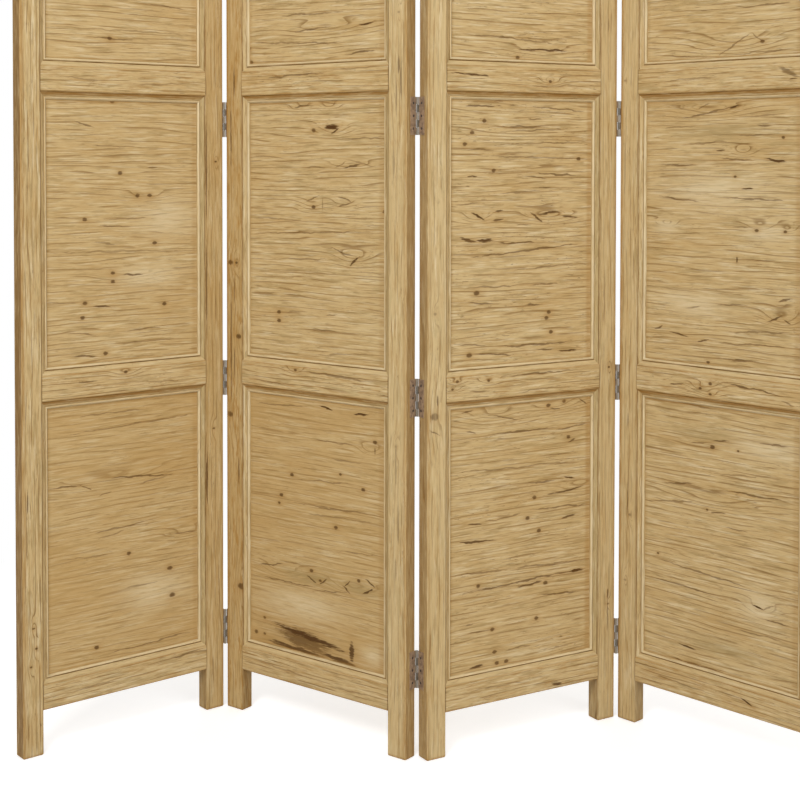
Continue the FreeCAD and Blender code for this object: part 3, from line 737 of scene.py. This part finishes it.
# Pale patches where the wax has gone, and olive smears, have a length and a height.
PALE_PATCHES = {
    (1, "middle_field"): ((290, 910, 100, 60), (250, 805, 120, 36)),
    (1, "bottom_field"): ((260, 240, 120, 60),),
    (2, "bottom_field"): ((170, 220, 160, 50), (330, 160, 40, 30)),
    (4, "bottom_field"): ((300, 530, 130, 34), (285, 262, 70, 50)),
    (4, "middle_field"): ((190, 960, 180, 60), (95, 895, 50, 24), (285, 890, 70, 24), (150, 765, 120, 40)),
}
OLIVE_SMEARS = {
    (2, "bottom_field"): ((190, 158, 130, 26), (190, 272, 130, 26), (305, 272, 80, 24)),
    (4, "middle_field"): ((200, 1060, 170, 24),),
    (4, "bottom_field"): ((170, 540, 110, 24), (210, 175, 150, 24)),
}


# how many rings two boards are apart, half the step between them, and where the joint's dark line begins
# and is full, each side of it
RINGS_APART = 3.37
JOINT_HALF_STEP = 0.2
JOINT_LINE = (1.1, 0.3)
# dirt along the beads begins and is full this far inside each edge of what shows of the boards, and how
# much of it lies at the right of each panel
DIRT_AT_LEFT = (7, 0)
DIRT_AT_RIGHT = (14, 6)
DIRT_AT_TOP = (7, 1)
DIRT_AT_BASE = (4, 0)
RIGHT_DIRT = {1: 0.30, 2: 0.30, 3: 0.50, 4: 0.30}


def field_wood(panel, field, seed):
    wood = Wood(f"boards_{panel}_{field}", panel)
    wood.lie(along=wood.x, across=wood.z, seed=seed)
    wood.grow(across=wood.z, ring_width=10.0, sway=30.0)
    base, top = (corner.z * MM_PER_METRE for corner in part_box(f"panel_{panel}_{field}"))
    shares = BOARD_JOINT_SHARES[panel][FIELD_NAMES.index(field)]
    joints = [base + share * (top - base) for share in shares]
    # each board has rings of its own, so they shift where two boards meet
    for joint in joints:
        past = wood.z.rise(joint - JOINT_HALF_STEP, joint + JOINT_HALF_STEP)
        wood.rings = wood.rings + past * RINGS_APART
    for eye in FIELD_EYES[panel, field]:
        wood.part_round(*eye)
    wood.lay_grain(lines=0.9, specks=SPECKS[panel])
    wood.yellow(FIELD_HONEY.get((panel, field), 0.1))
    for patches, colour in ((PALE_PATCHES, CREAM), (OLIVE_SMEARS, OLIVE)):
        for x, z, length, height in patches.get((panel, field), ()):
            distance = ((wood.x - x) / (length / 2)).squared() + ((wood.z - z) / (height / 2)).squared()
            wood.wear_and_painted_light((distance * -1).math("EXPONENT") * wood.front, 0.75, colour)
    for knot in FIELD_KNOTS[panel, field]:
        wood.knot(*knot)
    for streak in FIELD_STREAKS[panel, field]:
        wood.streak(*streak)
    for joint in joints:
        line = abs(wood.z - joint).rise(*JOINT_LINE)
        wood.wear_and_painted_light(line, 0.45, BROWN)
        wood.depth = wood.depth + line
    # dirt lies along the beads
    from_middle = wood.x - PANEL_WIDTH / 2
    half_open = PANEL_WIDTH / 2 - STILE_WIDTH - BEAD_WIDTH
    open_top = top - BOARD_HOUSING - BEAD_WIDTH
    open_base = base + BOARD_HOUSING + BEAD_WIDTH
    wood.wear_and_painted_light(from_middle.rise(*(inside - half_open for inside in DIRT_AT_LEFT)), 0.35)
    wood.wear_and_painted_light(from_middle.rise(*(half_open - inside for inside in DIRT_AT_RIGHT)), RIGHT_DIRT[panel])
    wood.wear_and_painted_light(wood.z.rise(*(open_top - inside for inside in DIRT_AT_TOP)), 0.45)
    wood.wear_and_painted_light(wood.z.rise(*(open_base + inside for inside in DIRT_AT_BASE)), 0.40)
    return wood.finish()


for panel in PANELS:
    for number, field in enumerate(FIELD_NAMES):
        dress(f"panel_{panel}_{field}", field_wood(panel, field, panel * 3 + number + 0.4))


# Beads. Thin mitred strips round every field, front and back: a slope down from the frame, a quirk, and a
# narrow ridge beside the boards. Dirt and painted shade lie in the joint, the quirk and under each rail;
# the ridge is pale with wear and a painted highlight, and the slope of the lowest strip with a painted
# highlight.

SCREEN_HEIGHT = 1700
FOOT_HEIGHT = 76
OPENING_HEIGHT = (SCREEN_HEIGHT - FOOT_HEIGHT - len(RAIL_NAMES) * RAIL_HEIGHT) / len(FIELD_NAMES)
LOWEST_OPENING = FOOT_HEIGHT + RAIL_HEIGHT
# heights in an opening are counted from a little under its base, so that its lowest edge is in it too
UNDER_BASE = 1
# places across a strip, from the frame to the boards
FRAME_JOINT = (2.2, 0.6)
# dirt and painted shade under a rail are full this near the frame and gone past the first distance
DIRT_AND_SHADE_UNDER_RAIL = (7.5, 4.0)
QUIRK_DISTANCE = 8
SLOPE = (QUIRK_DISTANCE, QUIRK_DISTANCE - 1.2)
QUIRK = (QUIRK_DISTANCE - 0.6, QUIRK_DISTANCE + 1.0)
RIDGE = (QUIRK_DISTANCE + 1.8, QUIRK_DISTANCE + 4.6)
BOARD_EDGE = (BEAD_WIDTH - 1.2, BEAD_WIDTH - 0.2)
# a strip ends where another is nearer the frame by this much
MITRE = (0.6, 0.1)
BEAD_RING_WIDTH = 6


def bead_wood(panel, face, seed):
    wood = Wood(f"beads_{panel}_{face}", panel)
    above = wood.z - LOWEST_OPENING + UNDER_BASE
    up = above.math("MODULO", OPENING_HEIGHT + RAIL_HEIGHT) - UNDER_BASE
    from_middle = wood.x - PANEL_WIDTH / 2
    from_stile = PANEL_WIDTH / 2 - STILE_WIDTH - abs(from_middle)
    from_top = OPENING_HEIGHT - up
    across = from_stile.math("MINIMUM", up).math("MINIMUM", from_top)
    # the grain follows each strip and turns at the mitres
    wood.lie(along=wood.x + wood.z, across=across, seed=seed)
    wood.rings = across / BEAD_RING_WIDTH + wood.wobble * 2
    wood.lay_grain(lines=0.5, specks=0.4)
    is_top = (from_top - across).rise(*MITRE)
    is_base = (up - across).rise(*MITRE)
    is_right = (from_stile - across).rise(*MITRE) * from_middle.rise(-1, 1)
    # the strip under a rail carries dirt and painted shade, the one at the right is olive, and the slope of
    # the lowest is pale with a painted highlight
    under_rail_dirt_and_shade = across.rise(*DIRT_AND_SHADE_UNDER_RAIL) * is_top
    slope = across.rise(*SLOPE)
    # painted shade with dirt: amber and brown on the strip under each rail
    wood.wear_and_painted_light(under_rail_dirt_and_shade, 0.90)
    wood.wear_and_painted_light(under_rail_dirt_and_shade, 0.25, BROWN)
    wood.wear_and_painted_light(slope * is_right, 0.60, OLIVE)
    # painted highlight: the upward-facing slope of the lowest strip is made paler
    wood.wear_and_painted_light(slope * is_base, 0.45, PALE_STRAW)
    # on the lowest strip of a field the dirt and painted shade lie in the quirk, and elsewhere in the joint
    # with the frame
    wood.wear_and_painted_light(across.rise(*FRAME_JOINT) * (1 - is_base * 0.75), 0.90, BROWN)
    # dirt and painted shade in the quirk of every strip, darker on the lowest
    quirk = across.band(*QUIRK, soft=0.4)
    wood.wear_and_painted_light(quirk, 0.50, BROWN)
    wood.wear_and_painted_light(quirk * is_base, 0.90, BROWN)
    # the ridge is pale with wear and a painted highlight
    wood.wear_and_painted_light(across.band(*RIDGE, soft=0.5), 0.90, CREAM)
    wood.wear_and_painted_light(across.rise(*BOARD_EDGE), 0.60, BROWN)
    return wood.finish()


for panel in PANELS:
    for face, seed in (("front", panel + 40.3), ("back", panel + 50.9)):
        dress(f"panel_{panel}_{face}_beads", bead_wood(panel, face, seed))


# Hinges. Butt hinges of rolled steel with a worn brown patina, round steel pins and countersunk screws that
# have gone darker than the leaves. The knuckles are greyer, and every other one is paler.

LEAF_BROWN = (0.430, 0.300, 0.190)
LEAF_DARK = (0.230, 0.155, 0.100)
LEAF_METAL = 0.35
SCREW_BROWN = (0.100, 0.070, 0.060)
SCREW_DARK = (0.045, 0.033, 0.030)
SCREW_METAL = 0.5
PIN_GREY = (0.240, 0.230, 0.210)
PIN_DARK = (0.110, 0.105, 0.095)
PIN_METAL = 0.8
BARREL_GREY = (0.130, 0.128, 0.105)
BARREL_PALE = (0.270, 0.250, 0.205)
# the barrel's colour reaches this far from the hinge's axis, and fades over so much of the distance squared
BARREL_REACH = 2.6
BARREL_FADE = 1.5
# how far the patina stands up, in metres
PATINA_RELIEF = 0.0002
axes = {joint["name"]: joint["pos_m"] for joint in frame["record"]["behaviour"]["joints"]}


def old_steel(name, light, dark, metal, axis=None, barrel=None):
    """Steel under a patchy patina. Near the hinge's axis it takes the barrel's own colour."""
    material = new_material(name)
    tree = material.node_tree
    start = Wire(tree, None)
    coordinates = start.node("TexCoord", output="Object")
    place = start.node("VectorMath", {"operation": "SCALE"}, {0: coordinates, "Scale": MM_PER_METRE})
    patches = place.noise(6, 6, 4.0, 0.6)
    specks = place.noise(1.1, 1.1, 2.0, 0.6)
    wear = (patches.rise(0.4, 0.62) * 0.8 + specks.rise(0.55, 0.7) * 0.2).clamp()
    colour = wear.mix(light, dark)
    if axis:
        x, y = (place.node("SeparateXYZ", None, {"Vector": place}, k) for k in range(2))
        squared = (x - axis[0] * MM_PER_METRE).squared() + (y - axis[1] * MM_PER_METRE).squared()
        on_barrel = squared.rise(BARREL_REACH**2, BARREL_REACH**2 - BARREL_FADE)
        colour = (on_barrel * 0.85).mix(colour, barrel)
    shader = tree.nodes["Principled BSDF"]
    tree.links.new(colour.socket, shader.inputs["Base Color"])
    tree.links.new((patches * 0.3 + 0.35).socket, shader.inputs["Roughness"])
    shader.inputs["Metallic"].default_value = metal
    relief = {"Height": patches + specks * 0.5, "Strength": 0.3, "Distance": PATINA_RELIEF}
    tree.links.new(place.node("Bump", None, relief).socket, shader.inputs["Normal"])
    return material


screw_steel = old_steel("screw_steel", SCREW_BROWN, SCREW_DARK, SCREW_METAL)
pin_steel = old_steel("pin_steel", PIN_GREY, PIN_DARK, PIN_METAL)
for joint, axis in axes.items():
    row = joint.replace("hinge", "hinges")
    for hand, barrel in (("left", BARREL_PALE), ("right", BARREL_GREY)):
        leaf_steel = old_steel(f"{row}_{hand}_steel", LEAF_BROWN, LEAF_DARK, LEAF_METAL, axis, barrel)
        dress(f"{row}_{hand}_leaves", leaf_steel)
        dress(f"{row}_{hand}_screws", screw_steel)
    dress(f"{row}_pins", pin_steel)


# Floor and light. A white floor that runs on to a white surround and keeps the soft shadow of the screen,
# under one lamp high on the front left, broad ones from the right and the back, and an even surround.

WHITE = (1, 1, 1, 1)
FLOOR_SIZE = 60
FLOOR_PAINT = (0.8, 0.8, 0.8, 1)
# what the camera alone sees added to the floor near the screen, which is then white outside the shadow
FLOOR_GLOW = 0.42
# metres from the middle at which the floor begins to be, and is, white whatever the lamps give
WHITE_FLOOR = (1.0, 1.5)
# how strongly the surround lights the screen, and how far it is lifted towards white in its gloss
SURROUND_LIGHT = 0.55
SURROUND_IN_GLOSS = 0.4
# the middle of the screen, which the lamps are turned to
LAMPS_AIM = Vector((0, 0, 0.9))

bpy.ops.mesh.primitive_plane_add(size=FLOOR_SIZE, location=(0, 0, 0))
floor = bpy.context.object
floor.name = "floor"
floor_white = new_material("floor_white")
floor.data.materials.append(floor_white)
tree = floor_white.node_tree
start = Wire(tree, None)
seen = start.node("LightPath", output="Is Camera Ray")
shader = tree.nodes["Principled BSDF"]
shader.inputs["Base Color"].default_value = FLOOR_PAINT
shader.inputs["Roughness"].default_value = 0.9
shader.inputs["Specular IOR Level"].default_value = 0.0
painted = Wire(tree, shader.outputs[0])
glow = start.node("Emission", None, {"Color": WHITE, "Strength": FLOOR_GLOW})
lifted = start.node("AddShader", None, {0: painted, 1: glow})
white = start.node("Emission", None, {"Color": WHITE, "Strength": 1.0})
place = start.node("TexCoord", output="Object")
away = start.node("VectorMath", {"operation": "LENGTH"}, {0: place}, "Value").rise(*WHITE_FLOOR)
shown = start.node("MixShader", None, {0: away, 1: lifted, 2: white})
chosen = start.node("MixShader", None, {0: seen, 1: painted, 2: shown})
tree.links.new(chosen.socket, tree.nodes["Material Output"].inputs["Surface"])

world = bpy.data.worlds.new("surround")
world.use_nodes = True
bpy.context.scene.world = world
tree = world.node_tree
start = Wire(tree, None)
seen = start.node("LightPath", output="Is Camera Ray")
mirrored = start.node("LightPath", output="Is Glossy Ray")
background = tree.nodes["Background"]
background.inputs["Color"].default_value = WHITE
lift = (seen + mirrored * SURROUND_IN_GLOSS).clamp()
strength = lift * (1 - SURROUND_LIGHT) + SURROUND_LIGHT
tree.links.new(strength.socket, background.inputs["Strength"])


def soft_lamp(name, place, width, watts):
    bpy.ops.object.light_add(type="AREA", location=place)
    lamp = bpy.context.object
    lamp.name = name
    lamp.data.shape = "SQUARE"
    lamp.data.size = width
    lamp.data.energy = watts
    lamp.rotation_euler = (LAMPS_AIM - Vector(place)).to_track_quat("-Z", "Y").to_euler()


soft_lamp("key_lamp", place=(-1.3, -3.0, 3.1), width=1.2, watts=77)
soft_lamp("fill_lamp", place=(2.2, -2.9, 2.3), width=2.6, watts=44)
soft_lamp("back_lamp", place=(0.4, 3.3, 2.6), width=3.0, watts=48)


# Camera. At chest height about two and a half metres in front, looking slightly down, with the picture
# shifted a little so that the feet and most of the height are in view.

CAMERA_PLACE = (-0.1426, -2.5503, 1.0137)
DEGREES_DOWN = 1.567

bpy.ops.object.camera_add(location=CAMERA_PLACE, rotation=(math.radians(90 - DEGREES_DOWN), 0, 0))
camera = bpy.context.object
camera.data.sensor_width = 36
camera.data.lens = 66.5
camera.data.shift_x = 0.0883
camera.data.shift_y = -0.25
bpy.context.scene.camera = camera
bpy.context.scene.view_settings.view_transform = "Standard"
